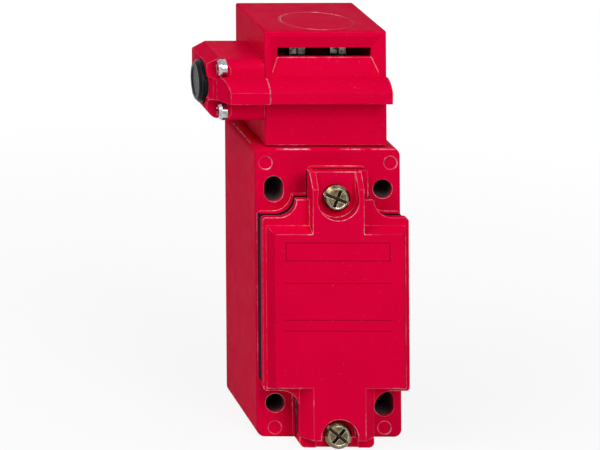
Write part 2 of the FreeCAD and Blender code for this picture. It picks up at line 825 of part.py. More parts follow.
def cam_cheek(x0):
    """One cheek of a cam: a round hub with a nose that stands up into the slot's mouth."""
    reach = cam_nose_radius
    half = cam_nose_width / 2
    nose = prism("x", x0, x0 + cheek_thickness, [
        (cam_axis_y - half - 1.2, cam_axis_z), (cam_axis_y + half + 1.6, cam_axis_z),
        (cam_axis_y + half - 0.6, cam_axis_z + reach, cam_tip_radius),
        (cam_axis_y - half, cam_axis_z + reach, cam_tip_radius)])
    hub = rod("x", cam_hub_radius, x0, x0 + cheek_thickness, cam_axis_y, cam_axis_z)
    catch = rod(
        "x", cam_catch_radius, x0 - 1, x0 + cheek_thickness + 1,
        cam_axis_y - half - 1.4, cam_axis_z + reach - cam_catch_drop)
    bore = rod("x", shaft_radius + fit_clearance, x0 - 1, x0 + cheek_thickness + 1, cam_axis_y, cam_axis_z)
    return join([nose, hub]).cut([catch, bore])


def cam_pair(side):
    cheeks = []
    for inner in (inner_cheek_inner_x, outer_cheek_inner_x):
        start = inner if side > 0 else -inner - cheek_thickness
        cheeks.append(cam_cheek(start))
    return Part.makeCompound(cheeks)


def drive_lobe():
    lobe_y = cam_axis_y + lobe_arm * math.cos(lobe_start)
    lobe_z = cam_axis_z + lobe_arm * math.sin(lobe_start)
    hub = rod("x", lobe_hub_radius, -lobe_half_width, lobe_half_width, cam_axis_y, cam_axis_z)
    nose = rod("x", lobe_radius, -lobe_half_width, lobe_half_width, lobe_y, lobe_z)
    web = box(
        -lobe_half_width, lobe_half_width, cam_axis_y, cam_axis_y + lobe_arm,
        cam_axis_z - lobe_web_half, cam_axis_z + lobe_web_half)
    web.rotate(vec(0, cam_axis_y, cam_axis_z), AXES["x"], lobe_lift_angle)
    inner = shaft_radius + fit_clearance
    bore = rod("x", inner, -lobe_half_width - 1, lobe_half_width + 1, cam_axis_y, cam_axis_z)
    outer = shaft_radius + spacer_wall
    end = inner_cheek_inner_x - 0.1
    spacer_right = tube("x", outer, inner, lobe_half_width, end, cam_axis_y, cam_axis_z)
    spacer_left = tube("x", outer, inner, -end, -lobe_half_width, cam_axis_y, cam_axis_z)
    return join([join([hub, nose, web]).cut(bore), spacer_right, spacer_left])


def cam_shaft():
    shaft = rod("x", shaft_radius, shaft_left_x, shaft_right_x, cam_axis_y, cam_axis_z)
    return rounded(shaft, 0.4, lambda edge: edge.BoundBox.XLength < 0.01)


def lock_disc():
    end = shaft_left_x + lock_disc_thickness
    disc = rod("x", lock_disc_radius, shaft_left_x, end, cam_axis_y, cam_axis_z)
    notch = box(
        shaft_left_x - 1, end + 1, cam_axis_y - lock_disc_radius - 1,
        cam_axis_y - lock_disc_radius + lock_notch_depth,
        cam_axis_z - lock_notch_width / 2, cam_axis_z + lock_notch_width / 2)
    bore = rod("x", shaft_radius + fit_clearance, shaft_left_x - 1, end + 1, cam_axis_y, cam_axis_z)
    return disc.cut([notch, bore])


def plunger():
    pin = rod("z", plunger_pin_radius, plunger_collar_z, plunger_top, 0, turret_y)
    collar = rod(
        "z", plunger_collar_radius, plunger_collar_z, plunger_collar_z + plunger_collar_thickness,
        0, turret_y)
    stem = rod("z", plunger_radius, carrier_top, plunger_collar_z + 0.5, 0, turret_y)
    return rounded(join([pin, collar, stem]), 0.5, edge_on("z", plunger_top))


def plunger_guide():
    inner = plunger_radius + running_clearance
    sleeve = tube("z", guide_outer_radius - 0.02, inner, chamber_top, guide_top, 0, turret_y)
    flange_top = guide_top + guide_flange_thickness
    flange = tube("z", guide_flange_radius, inner, guide_top, flange_top, 0, turret_y)
    return join([sleeve, flange])


def return_spring():
    start = guide_top + guide_flange_thickness + 0.02
    return helix(
        return_spring_radius, spring_wire_radius, start, plunger_collar_z - 0.02, return_spring_turns,
        "z", 0, turret_y)


def contact_block_base():
    base = box(-block_half_width, block_half_width, block_front_y, block_back, block_bottom, block_top)
    channel_floor = block_front_y + block_channel_depth
    cuts = [box(
        -block_channel_half_width, block_channel_half_width, block_front_y - 1, channel_floor,
        block_bottom + block_channel_rise, block_top + 1)]
    cuts.append(box(
        -block_half_width - 1, block_earth_room_x, block_front_y - 1, chamber_back, block_bottom - 1,
        block_earth_room_z))
    for side in (-1, 1):
        for z in pole_z:
            inner = side * block_shelf_inner_x
            outer = side * (block_half_width + 1)
            cuts.append(box(
                min(inner, outer), max(inner, outer), block_front_y - 1, block_front_y + block_shelf_drop,
                z - pole_room_half, z + pole_room_half))
            wall = side * (block_channel_half_width - 1)
            cuts.append(box(
                min(inner, wall), max(inner, wall), block_front_y - 1, block_front_y + block_channel_depth,
                z - pole_room_half, z + pole_room_half))
            cuts.append(rod(
                "y", terminal_screw_radius + fit_clearance, block_front_y - 1,
                block_front_y + block_shelf_drop + terminal_screw_length, side * terminal_x, z))
    for z in block_screw_places():
        cuts.append(rod("y", block_screw_radius + 0.15, block_front_y - 1, chamber_back + 1, 0, z))
        cuts.append(rod("y", block_screw_head_radius + 0.2, block_front_y - 1, block_screw_seat, 0, z))
    return base.cut(cuts)


def contact_block_lid():
    front = block_front_y - 0.02
    lid = block(
        0.8, "y", front - block_lid_thickness, front, -block_shelf_inner_x + 0.2, block_shelf_inner_x - 0.2,
        block_bottom + block_channel_rise + 0.4, block_top - 6.6)
    window = block(
        0.5, "y", front - block_lid_thickness - 1, front - block_lid_thickness + 0.7,
        -3.2, 3.2, pole_z[0] + 1.0, pole_z[-1] - 2.0)
    return lid.cut(window)


def block_fixing_screws():
    screws = []
    for z in block_screw_places():
        screw = pan_screw(
            "y", block_screw_seat, -1, block_screw_head_radius, block_screw_head_height,
            block_screw_radius, block_screw_length, 0, z)
        top = block_screw_seat - block_screw_head_height
        screws.append(screw.cut(cross_cut("y", top, 0.9, 1.6, 0.6, 0, z, 45)))
    return Part.makeCompound(screws)


def fixed_strips():
    """Each pole has a strip and contact tip at both sides; the bridge closes on the tips."""
    strips = []
    shelf = block_front_y + block_shelf_drop
    for z, is_break in zip(pole_z, pole_is_break):
        for side in (-1, 1):
            flat = box(
                min(side * (block_shelf_inner_x + 0.1), side * (block_half_width - 0.4)),
                max(side * (block_shelf_inner_x + 0.1), side * (block_half_width - 0.4)),
                shelf - strip_thickness, shelf, z - strip_width / 2, z + strip_width / 2)
            flat = flat.cut(rod(
                "y", terminal_screw_radius + 0.15, shelf - strip_thickness - 1, shelf + 1,
                side * terminal_x, z))
            arm_z = tip_level(z, is_break)
            up = 1 if is_break else -1
            tongue_low = min(arm_z, arm_z - up * strip_thickness)
            tip_x = side * strip_tip_x
            root_x = side * (block_shelf_inner_x + 0.1)
            web_x = side * (block_shelf_inner_x + 1.2)
            tongue = box(
                min(tip_x, web_x), max(tip_x, web_x), carrier_y - bridge_width / 2, shelf,
                tongue_low, tongue_low + strip_thickness)
            web = box(
                min(root_x, web_x), max(root_x, web_x), shelf - strip_thickness, shelf,
                min(tongue_low, z), max(tongue_low + strip_thickness, z))
            strips.append(join([flat, tongue, web]))
    return Part.makeCompound(strips)


def tip_level(z, is_break):
    """The level of a fixed strip's face that looks at the bridge."""
    if is_break:
        return bridge_level(z, is_break) - button_contact_height - plunger_travel - contact_gap
    return bridge_level(z, is_break) + bridge_thickness + button_contact_height + contact_gap


def bridge_level(z, is_break):
    """The underside of a bridge at rest, above its pole's level."""
    if is_break:
        return z + break_bridge_rise
    return z + make_bridge_rise


def contact_bridges():
    bridges = []
    for z, is_break in zip(pole_z, pole_is_break):
        low = bridge_level(z, is_break)
        bar = box(
            -bridge_half_length + 1.6, bridge_half_length - 1.6, carrier_y - bridge_width / 2,
            carrier_y + bridge_width / 2, low, low + bridge_thickness)
        pieces = [bar]
        for side in (-1, 1):
            x = side * (bridge_half_length - 1.6 - button_contact_radius)
            if is_break:
                pieces.append(rod(
                    "z", button_contact_radius, low - button_contact_height, low + 0.1, x, carrier_y))
            else:
                top = low + bridge_thickness
                pieces.append(rod(
                    "z", button_contact_radius, top - 0.1, top + button_contact_height, x, carrier_y))
        bridges.append(join(pieces))
    return Part.makeCompound(bridges)


def contact_carrier():
    carrier = box(
        -carrier_half_width, carrier_half_width,
        carrier_y - carrier_depth / 2, carrier_y + carrier_depth / 2,
        pole_z[0] - carrier_foot_drop, carrier_top)
    cuts = []
    for z, is_break in zip(pole_z, pole_is_break):
        level = bridge_level(z, is_break)
        cuts.append(box(
            -carrier_half_width - 1, carrier_half_width + 1, carrier_y - bridge_width / 2 - 0.03,
            carrier_y + bridge_width / 2 + 0.03, level - 0.02, level + bridge_thickness + 0.02))
        cuts.append(box(
            -1.6, 1.6, carrier_y - bridge_width / 2, carrier_y + bridge_width / 2,
            level + bridge_thickness, level + bridge_thickness + 2.4))
    return carrier.cut(cuts)


def terminal_clamps():
    clamps = []
    shelf = block_front_y + block_shelf_drop - strip_thickness
    for z in pole_z:
        for side in (-1, 1):
            x = side * terminal_x
            plate = box(
                x - clamp_size / 2, x + clamp_size / 2, shelf - clamp_thickness - 1.4, shelf - 1.4,
                z - clamp_size / 2, z + clamp_size / 2)
            lips = []
            for end in (-1, 1):
                edge = z + end * clamp_size / 2
                lips.append(box(
                    x - clamp_size / 2, x + clamp_size / 2, shelf - 1.5, shelf - 0.6,
                    min(edge, edge - end * 0.7), max(edge, edge - end * 0.7)))
            hole = rod("y", terminal_screw_radius + 0.1, shelf - 5, shelf + 1, x, z)
            clamps.append(join([plate] + lips).cut(hole))
    return Part.makeCompound(clamps)


def terminal_screws():
    screws = []
    seat = block_front_y + block_shelf_drop - strip_thickness - clamp_thickness - 1.4
    for z in pole_z:
        for side in (-1, 1):
            screw = pan_screw(
                "y", seat, -1, terminal_screw_head_radius, terminal_screw_head_height,
                terminal_screw_radius, terminal_screw_length, side * terminal_x, z)
            screws.append(screw.cut(cross_cut(
                "y", seat - terminal_screw_head_height, 1.0, 1.9, 0.7, side * terminal_x, z, 0)))
    return Part.makeCompound(screws)


def earth_clamp():
    seat = chamber_back - earth_boss_height
    half = earth_clamp_half
    plate = box(
        earth_x - half, earth_x + half, seat - earth_clamp_thickness, seat, earth_z - half, earth_z + half)
    plate = plate.common(rod("y", earth_clamp_radius, seat - 2, seat + 1, earth_x, earth_z))
    return plate.cut(rod("y", terminal_screw_radius + 0.1, seat - 2, seat + 1, earth_x, earth_z))


def earth_screw():
    seat = chamber_back - earth_boss_height - earth_clamp_thickness
    screw = pan_screw(
        "y", seat, -1, terminal_screw_head_radius - 0.2, terminal_screw_head_height,
        terminal_screw_radius, terminal_screw_length, earth_x, earth_z)
    return screw.cut(cross_cut("y", seat - terminal_screw_head_height, 1.0, 1.8, 0.7, earth_x, earth_z, 0))


def button_housing():
    outer = box(
        housing_left_x, housing_right_x, housing_front_y, housing_back_y, housing_bottom_z, housing_top_z)

    def top_front(edge):
        bound = edge.BoundBox
        return bound.XLength > 10 and near(bound.YMax, housing_front_y)

    def low_left(edge):
        bound = edge.BoundBox
        return near(bound.XMax, housing_left_x) and near(bound.ZMax, housing_bottom_z) and bound.YLength > 3
    outer = rounded(outer, housing_top_front_radius, top_front)
    outer = rounded(outer, housing_low_radius, low_left)
    front_chamfer = prism("z", housing_bottom_z - 1, housing_top_z + 1, [
        (housing_left_x - 5, housing_front_y - 5),
        (housing_left_x + housing_front_chamfer_x + 8, housing_front_y - 5),
        (housing_left_x + housing_front_chamfer_x, housing_front_y),
        (housing_left_x, housing_front_y + housing_front_chamfer_y),
        (housing_left_x - 5, housing_front_y + housing_front_chamfer_y + 3)])
    top_chamfer = prism("y", housing_front_y - 6, housing_back_y + 1, [
        (housing_left_x - 1, housing_top_z - housing_top_chamfer_z - 0.54),
        (housing_left_x + housing_top_chamfer_x + 1, housing_top_z + 0.54),
        (housing_left_x - 1, housing_top_z + 2)])
    outer = outer.cut([front_chamfer, top_chamfer])
    inner_y = housing_front_y + 1
    bar = nose_profile(housing_left_x, housing_right_x, [
        (inner_y, body_height + nose_under_rise), (inner_y, body_height + nose_root_rise)])
    cheek_front_x = housing_left_x + housing_cheek_front_x
    beyond_cheek = [
        (housing_left_x - 1, housing_cheek_back_y), (housing_left_x, housing_cheek_back_y),
        (cheek_front_x, nose_front_y), (cheek_front_x, nose_front_y - 1),
        (housing_left_x - 1, nose_front_y - 1)]
    bar = bar.cut(prism("z", housing_bottom_z, housing_top_z, beyond_cheek))
    cheek_low = housing_screw_z[1] + housing_scallop_radius
    cheek_high = housing_screw_z[0] - housing_scallop_radius
    outer = join([outer.cut(prism("z", cheek_low, cheek_high, beyond_cheek)), bar])

    bore_radius = button_radius + button_bore_clearance
    cuts = [
        rod("x", bore_radius, housing_left_x - 1, button_web_x, cam_axis_y, cam_axis_z),
        rod("x", button_stem_radius + running_clearance, button_web_x - 1, lock_pocket_x + 1,
            cam_axis_y, cam_axis_z),
        block(1.5, "x", lock_pocket_x, housing_right_x + 1, lock_pocket_front_y, lock_pocket_back_y,
              lock_pocket_bottom_z, lock_pocket_top_z),
        gasket_room(fit_clearance),
    ]
    for z in housing_screw_z:
        cuts.append(rod(
            "x", housing_scallop_radius, housing_left_x - 1, housing_screw_seat_x, housing_screw_y, z))
        cuts.append(rod(
            "x", small_screw_radius + fit_clearance, housing_screw_seat_x - 1, housing_right_x + 1,
            housing_screw_y, z))
    return outer.cut(cuts)


def gasket_room(grow):
    """The sheet's outline in the housing's end face, grown by a clearance on its sides."""
    inset = housing_gasket_inset - grow
    return block(
        1.2, "x", -head_half_width - housing_gasket_thickness, -head_half_width,
        housing_front_y + inset, housing_back_y - inset, housing_bottom_z + inset, housing_top_z - inset)


def button_housing_gasket():
    start = -head_half_width - 1
    end = -head_half_width + 1
    cuts = [block(
        1.5, "x", start, end, lock_pocket_front_y + 0.8, lock_pocket_back_y - 0.8,
        lock_pocket_bottom_z + 0.8, lock_pocket_top_z - 0.8)]
    for z in housing_screw_z:
        cuts.append(rod("x", small_screw_radius + 0.2, start, end, housing_screw_y, z))
    return gasket_room(0).cut(cuts)


def button_housing_screws():
    screws = []
    for z in housing_screw_z:
        screw = pan_screw(
            "x", housing_screw_seat_x, -1, small_screw_head_radius, small_screw_head_height,
            small_screw_radius, small_screw_length, housing_screw_y, z)
        top = housing_screw_seat_x - small_screw_head_height
        screws.append(screw.cut(cross_cut("x", top, 1.2, 1.5, 0.6, housing_screw_y, z, 20)))
    return Part.makeCompound(screws)


def button_cap():
    disc = rod("x", button_radius, button_face_x, button_cap_inner_x, cam_axis_y, cam_axis_z)
    chamfered = disc.makeChamfer(button_face_chamfer, [
        edge for edge in disc.Edges
        if near(edge.BoundBox.XMax, button_face_x) and edge.BoundBox.YLength > 1])
    hollow = rod(
        "x", button_radius - button_skirt_wall, button_face_x + button_cap_skin, button_cap_inner_x + 1,
        cam_axis_y, cam_axis_z)
    dish = cone(
        "x", button_radius - 1.6, button_radius - 2.2, button_face_x - 0.01, button_face_x + 0.3,
        cam_axis_y, cam_axis_z)
    socket = rod(
        "x", button_stem_radius + fit_clearance / 2, button_face_x + button_cap_skin - 1.0,
        button_face_x + button_cap_skin + 1, cam_axis_y, cam_axis_z)
    return chamfered.cut([hollow, dish, socket])


def button_stem():
    start = button_face_x + button_cap_skin - 1.0
    stem = rod("x", button_stem_radius, start, stem_end_x, cam_axis_y, cam_axis_z)
    return rounded(stem, 0.4, lambda edge: near(edge.BoundBox.XMin, stem_end_x))


def stem_clip():
    """The ring that stops the stem from coming out with the cap."""
    start = lock_pocket_x + 0.1
    ring = tube(
        "x", button_collar_radius, button_stem_radius + fit_clearance,
        start, start + button_collar_thickness,
        cam_axis_y, cam_axis_z)
    gap = box(
        start - 1, start + 2, cam_axis_y - 1.0, cam_axis_y + 1.0, cam_axis_z - button_collar_radius - 1,
        cam_axis_z)
    return ring.cut(gap)


def button_spring():
    start = button_face_x + button_cap_skin + 0.02
    return helix(
        button_spring_radius - 0.5, spring_wire_radius, start, button_web_x - 0.02, button_spring_turns,
        "x", cam_axis_y, cam_axis_z)


def export_all():
    parts = {
        "body_casting": body_casting(),
        "cover_gasket": cover_gasket(),
        "front_cover": front_cover(),
        "cover_screws": cover_screws(),
        "head_gasket": head_gasket(),
        "head_casting": head_casting(),
        "head_screws": head_screws(),
        "shaft_bushes": shaft_bushes(),
        "cam_shaft": cam_shaft(),
        "cam_left": cam_pair(-1),
        "cam_right": cam_pair(1),
        "drive_lobe": drive_lobe(),
        "lock_disc": lock_disc(),
        "plunger": plunger(),
        "plunger_guide": plunger_guide(),
        "return_spring": return_spring(),
        "contact_block_base": contact_block_base(),
        "contact_block_lid": contact_block_lid(),
        "block_fixing_screws": block_fixing_screws(),
        "fixed_contact_strips": fixed_strips(),
        "contact_carrier": contact_carrier(),
        "contact_bridges": contact_bridges(),
        "terminal_clamps": terminal_clamps(),
        "terminal_screws": terminal_screws(),
        "earth_clamp": earth_clamp(),
        "earth_screw": earth_screw(),
        "button_housing": button_housing(),
        "button_housing_gasket": button_housing_gasket(),
        "button_housing_screws": button_housing_screws(),
        "button_cap": button_cap(),
        "button_stem": button_stem(),
        "stem_clip": stem_clip(),
        "button_spring": button_spring(),
    }
    os.makedirs("parts", exist_ok=True)
    for name, shape in parts.items():
        solids = shape.Solids
        volume = sum(solid.Volume for solid in solids)
        valid = all(solid.isValid() for solid in solids)
        print(name, "solids", len(solids), "volume", round(volume, 1), "valid", valid)
        if len(solids) == 1:
            shape = solids[0]
        shape.exportStep("parts/" + name + ".step")


export_all()
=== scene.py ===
import bpy
from mathutils import Matrix, Vector


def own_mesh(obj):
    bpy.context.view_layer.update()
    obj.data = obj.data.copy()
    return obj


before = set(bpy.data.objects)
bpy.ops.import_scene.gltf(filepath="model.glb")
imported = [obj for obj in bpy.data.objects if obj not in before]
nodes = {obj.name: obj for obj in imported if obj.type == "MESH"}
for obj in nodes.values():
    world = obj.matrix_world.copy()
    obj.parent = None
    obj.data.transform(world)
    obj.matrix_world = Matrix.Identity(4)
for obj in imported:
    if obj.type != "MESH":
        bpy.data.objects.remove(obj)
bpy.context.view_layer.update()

mm = 0.001

RED = (0.780, 0.0006, 0.046)
RED_DEEP = (0.660, 0.0006, 0.038)
# Light specks, and the painted highlight along the paint's edges.
RED_SPECK_AND_SHEEN = (1.0, 0.18, 0.30)
# Painted glints that break up the edge highlight.
EDGE_GLINT = (1.0, 0.66, 0.74)
# Painted shade in the gap between the cover and the body.
SEAM_SHADE = (0.022, 0.006, 0.022)
PRINT = (0.095, 0.004, 0.012)
# Bare metal on the fixing bores' walls, darkened with painted shade.
BARE_BORE_AND_SHADE = (0.120, 0.080, 0.085)
# Painted shade in the cover screws' slots.
SLOT_SHADE = (0.040, 0.028, 0.016)
WHITE = (1.0, 1.0, 1.0, 1.0)

# Places on the part that the looks refer to, in the shared frame. They follow the CAD model's sizes.
bore_x = 15.0 * mm
bore_low_z, bore_high_z = 9.7 * mm, 69.7 * mm
bore_radius = 2.65 * mm
bore_stretch = 0.95 * mm
bore_dark_from_y, bore_dark_full_y = -16.3 * mm, -15.6 * mm
land_half_width, land_root_y = 19.6 * mm, -17.0 * mm
seam_front_y, seam_back_y = -20.6 * mm, -19.2 * mm
front_crown_y, front_crown_z = -16.74 * mm, 80.74 * mm
left_crown_x, left_crown_z = -19.36 * mm, 80.36 * mm
ramp_top_z, ramp_foot_z = 105.8 * mm, 100.9 * mm
ramp_half_width, ramp_spread = 13.0 * mm, 0.42
funnel_front_y, funnel_back_y = -15.7 * mm, -8.0 * mm
cover_front_y = -27.2 * mm
screw_face_y = -26.3 * mm
screw_slot_reach = 2.95 * mm
screw_top_z, screw_foot_z = 69.7 * mm, 3.9 * mm

# Boxes in which the painted edge highlight and its painted glints are weaker. Each line says how much
# weaker, at both sides or at the left alone, then the box's range in millimetres outwards from the middle,
# in y and in z. None stands for any value.
calm_boxes = (
    # The hollow along the nose's root, and the slopes beside the cover's raised front.
    (1.00, "both", None, (-16.6, -14.6), (99.4, 101.2)),
    (1.00, "both", (17.0, 18.0), (-27.4, -26.6), None),
    # The funnel above its ramp, and its outer uprights.
    (1.00, "both", (-15.75, 15.75), (-15.8, -8.0), (106.25, 112.85)),
    (1.00, "both", (14.65, 15.75), (-15.8, -8.0), (100.25, 112.85)),
    # The root of the land.
    (1.00, "both", (19.25, 21.0), (-17.5, -16.9), (14.0, 66.0)),
    # The cover's upright edges, and the raised front's top beside the tab.
    (0.85, "left", (17.1, 21.0), (-28.0, -22.05), (17.0, 63.2)),
    (0.50, "both", (17.1, 21.0), (-28.0, -22.05), (17.0, 63.2)),
    (0.75, "both", (9.1, 21.0), (-28.0, -22.05), (58.6, 62.8)),
)

# The print on the cover's front: a frame for a title, and table rules below it.
frame_left_x, frame_right_x = -14.4 * mm, 13.9 * mm
frame_low_z, frame_high_z = 52.9 * mm, 57.9 * mm
rule_left_x, rule_right_x = -14.8 * mm, 14.3 * mm
rule_heights = (46.7 * mm, 36.5 * mm, 33.5 * mm)
line_half_width = 0.09 * mm

# The floor's whiteness rises from near the part to the background's white. Lengths are in metres.
floor_radius, floor_drop = 4.0, 0.1 * mm
fade_start, fade_end, whiteness_at_part = 0.04, 0.30, 0.88
ambient_strength = 0.13


class Shader:
    """One node material with a Principled shader, built up call by call."""

    def __init__(self, name, **sockets):
        self.material = bpy.data.materials.new(name)
        self.material.use_nodes = True
        self.tree = self.material.node_tree
        self.principled = self.tree.nodes["Principled BSDF"]
        for socket, value in sockets.items():
            self.principled.inputs[socket.replace("_", " ")].default_value = value
        self.place = self.add("ShaderNodeTexCoord").outputs["Object"]

    def add(self, kind, settings=None, **inputs):
        """A new node. Its inputs are given by name, with _ for a space, or by number, as in _0."""
        node = self.tree.nodes.new(kind)
        for key, value in (settings or {}).items():
            setattr(node, key, value)
        for key, value in inputs.items():
            socket = node.inputs[int(key[1:])] if key[0] == "_" else node.inputs[key.replace("_", " ")]
            self.fill(socket, value)
        return node

    def fill(self, socket, value):
        """Links a socket to another one, or sets it to a number, a vector or a colour of three parts."""
        if isinstance(value, bpy.types.NodeSocket):
            self.tree.links.new(value, socket)
        elif socket.type == "RGBA" and len(value) == 3:
            socket.default_value = (*value, 1.0)
        else:
            socket.default_value = value

    def noise(self, scale, detail=2.0, roughness=0.5, vector=None):
        place = vector or self.place
        node = self.add("ShaderNodeTexNoise", Vector=place, Scale=scale, Detail=detail, Roughness=roughness)
        return node.outputs["Fac"]

    def remap(self, value, low, high, to_low=0.0, to_high=1.0):
        node = self.add("ShaderNodeMapRange", _0=value, _1=low, _2=high, _3=to_low, _4=to_high)
        return node.outputs["Result"]

    def math(self, operation, first, second=0.0):
        return self.add("ShaderNodeMath", {"operation": operation}, _0=first, _1=second).outputs["Value"]

    def absolute(self, value):
        return self.math("ABSOLUTE", value)

    def apart(self, first, second):
        """How far apart two values are."""
        return self.absolute(self.math("SUBTRACT", first, second))

    def all_of(self, *masks):
        """The product of masks: 1 where each of them is 1."""
        whole = masks[0]
        for mask in masks[1:]:
            whole = self.math("MULTIPLY", whole, mask)
        return whole

    def any_of(self, *masks):
        """The largest of the masks: 1 where one of them is 1."""
        whole = masks[0]
        for mask in masks[1:]:
            whole = self.math("MAXIMUM", whole, mask)
        return whole

    def mix(self, factor, first, second):
        """A colour between two others, through the mix node's factor and its two colour sockets."""
        node = self.add("ShaderNodeMix", {"data_type": "RGBA"}, _0=factor, _6=first, _7=second)
        return node.outputs[2]

    def stretch(self, x, y, z):
        return self.add("ShaderNodeMapping", Vector=self.place, Scale=(x, y, z)).outputs["Vector"]

    def parts_of_place(self):
        split = self.add("ShaderNodeSeparateXYZ", Vector=self.place)
        return split.outputs["X"], split.outputs["Y"], split.outputs["Z"]

    def soft_edges(self, radius):
        """The normal with its edges rounded off, and how near an edge is, from 0 to 1."""
        bevel = self.add("ShaderNodeBevel", {"samples": 6}, Radius=radius).outputs["Normal"]
        normal = self.add("ShaderNodeNewGeometry").outputs["Normal"]
        dot = self.add("ShaderNodeVectorMath", {"operation": "DOT_PRODUCT"}, _0=bevel, _1=normal)
        return bevel, self.remap(dot.outputs["Value"], 0.995, 0.90)

    def bump(self, height, strength, distance, normal=None):
        extra = {"Normal": normal} if normal else {}
        node = self.add("ShaderNodeBump", Height=height, Strength=strength, Distance=distance, **extra)
        return node.outputs["Normal"]

    def into(self, socket, value):
        self.tree.links.new(value, self.principled.inputs[socket])

    def on(self, *names):
        for name in names:
            nodes[name].data.materials.clear()
            nodes[name].data.materials.append(self.material)


def near_line(shader, coordinate, at, half_width):
    """1 on a stripe across one coordinate, with a slightly soft edge."""
    softness = 0.04 * mm
    return shader.remap(shader.apart(coordinate, at), half_width + softness, half_width - softness)


def between(shader, coordinate, low, high):
    return near_line(shader, coordinate, (low + high) / 2, (high - low) / 2)


def length_of(shader, first, second):
    """How long a step is that goes this far along two directions at right angles."""
    first_square = shader.math("MULTIPLY", first, first)
    second_square = shader.math("MULTIPLY", second, second)
    return shader.math("SQRT", shader.math("ADD", first_square, second_square))


def in_bores(shader):
    """1 on the walls of the four fixing bores, two of them upright oblongs."""
    x, y, z = shader.parts_of_place()
    inside = shader.remap(y, bore_dark_from_y, bore_dark_full_y)
    near = None
    for at_x, at_z, reach in (
        (-bore_x, bore_high_z, bore_stretch), (bore_x, bore_low_z, bore_stretch),
        (bore_x, bore_high_z, 0.0), (-bore_x, bore_low_z, 0.0),
    ):
        off_x = shader.math("SUBTRACT", x, at_x)
        off_z = shader.math("MAXIMUM", shader.math("SUBTRACT", shader.apart(z, at_z), reach), 0.0)
        distance = length_of(shader, off_x, off_z)
        near = distance if near is None else shader.math("MINIMUM", near, distance)
    return shader.all_of(inside, shader.remap(near, bore_radius + 0.2 * mm, bore_radius + 0.1 * mm))


def in_seam(shader):
    """1 on the land's sides just behind the gasket, and at the far left and right as far as its root, where
    painted shade goes.
    """
    x, y, _ = shader.parts_of_place()
    normal = shader.add("ShaderNodeNewGeometry").outputs["Normal"]
    facing = shader.add("ShaderNodeSeparateXYZ", Vector=normal)
    sideways = shader.remap(shader.absolute(facing.outputs["Y"]), 0.6, 0.4)
    narrow = between(shader, y, seam_front_y, seam_back_y)
    wide = between(shader, y, seam_front_y, land_root_y - 0.2 * mm)
    at_sides = shader.remap(shader.absolute(x), land_half_width - 0.6 * mm, land_half_width - 0.3 * mm)
    return shader.all_of(shader.any_of(narrow, shader.all_of(wide, at_sides)), sideways)


def crown_highlights(shader):
    """1 along the crown of the body's rounded top edges, at the front and at the left, where painted glints
    go.
    """
    x, y, z = shader.parts_of_place()
    front_y = near_line(shader, y, front_crown_y, 0.14 * mm)
    front_z = near_line(shader, z, front_crown_z, 0.14 * mm)
    left_x = near_line(shader, x, left_crown_x, 0.12 * mm)
    left_z = near_line(shader, z, left_crown_z, 0.12 * mm)
    return shader.any_of(shader.all_of(front_y, front_z), shader.all_of(left_x, left_z))


def calm_places(shader):
    """How much weaker the painted edge highlight and its painted glints are at a place, from 0 to 1."""
    x, y, z = shader.parts_of_place()
    outwards = {"both": shader.absolute(x), "left": shader.math("MULTIPLY", x, -1.0)}
    masks = []
    for share, side, *ranges in calm_boxes:
        sides_of_box = [
            between(shader, coordinate, reach[0] * mm, reach[1] * mm)
            for coordinate, reach in zip((outwards[side], y, z), ranges) if reach]
        masks.append(shader.math("MULTIPLY", shader.all_of(*sides_of_box), share))
    return shader.any_of(*masks)


def ramp_edges(shader):
    """1 along the two edges beside the funnel's lower ramp, which spread downwards, where painted glints go.
    """
    x, y, z = shader.parts_of_place()
    fall = shader.math("SUBTRACT", ramp_top_z, z)
    edge_x = shader.math("ADD", shader.math("MULTIPLY", fall, ramp_spread), ramp_half_width)
    near = shader.remap(shader.apart(shader.absolute(x), edge_x), 0.55 * mm, 0.45 * mm)
    reach_z = between(shader, z, ramp_foot_z, ramp_top_z)
    reach_y = between(shader, y, funnel_front_y, funnel_back_y)
    return shader.all_of(near, reach_z, reach_y)


def blank_label(shader):
    """An empty title frame and three table rules, printed on the cover's raised front."""
    x, y, z = shader.parts_of_place()
    frame_x = between(shader, x, frame_left_x - line_half_width, frame_right_x + line_half_width)
    frame_z = between(shader, z, frame_low_z - line_half_width, frame_high_z + line_half_width)
    rule_x = between(shader, x, rule_left_x, rule_right_x)
    marks = []
    for at in (frame_low_z, frame_high_z):
        marks.append(shader.all_of(near_line(shader, z, at, line_half_width), frame_x))
    for at in (frame_left_x, frame_right_x):
        marks.append(shader.all_of(near_line(shader, x, at, line_half_width), frame_z))
    for at in rule_heights:
        marks.append(shader.all_of(near_line(shader, z, at, line_half_width * 0.8), rule_x))
    in_front = shader.remap(y, cover_front_y + 0.3 * mm, cover_front_y + 0.1 * mm)
    worn = shader.remap(shader.noise(2200.0, 1.0), 0.25, 0.5, 0.6, 0.95)
    return shader.all_of(shader.any_of(*marks), in_front, worn)


